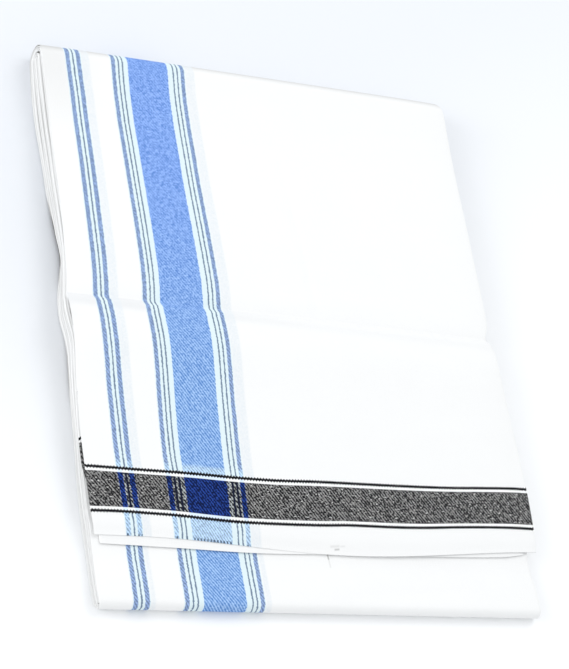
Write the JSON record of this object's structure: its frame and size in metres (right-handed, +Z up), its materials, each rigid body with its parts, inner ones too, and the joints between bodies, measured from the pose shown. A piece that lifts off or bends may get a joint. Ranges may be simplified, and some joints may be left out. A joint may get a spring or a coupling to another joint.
{
  "type": "folded dhoti cloth",
  "caption": "Bordered white cotton wrap cloth folded in four and over and over into a flat pack that lies on a surface.",
  "frame": {"origin": "middle of the pack's footprint, on the surface it lies on", "axes": "+X across the pack from the bordered long edge to the plain one, +Y from the near fold to the far fold, +Z up"},
  "size_m": [0.3256, 0.398, 0.0224],
  "materials": {
    "bordered_cotton": "matte plain-woven white cotton with a blue striped border along the selvedge and a charcoal band across the cut end",
    "plain_cotton": "matte plain-woven white cotton"
  },
  "bodies": {
    "root": {"top_stretch": "bordered_cotton", "near_stretch": "bordered_cotton", "underside_stretch": "bordered_cotton", "other_end_ply": "bordered_cotton", "second_ply": "plain_cotton", "hidden_layers": "plain_cotton"}
  },
  "joints": []
}
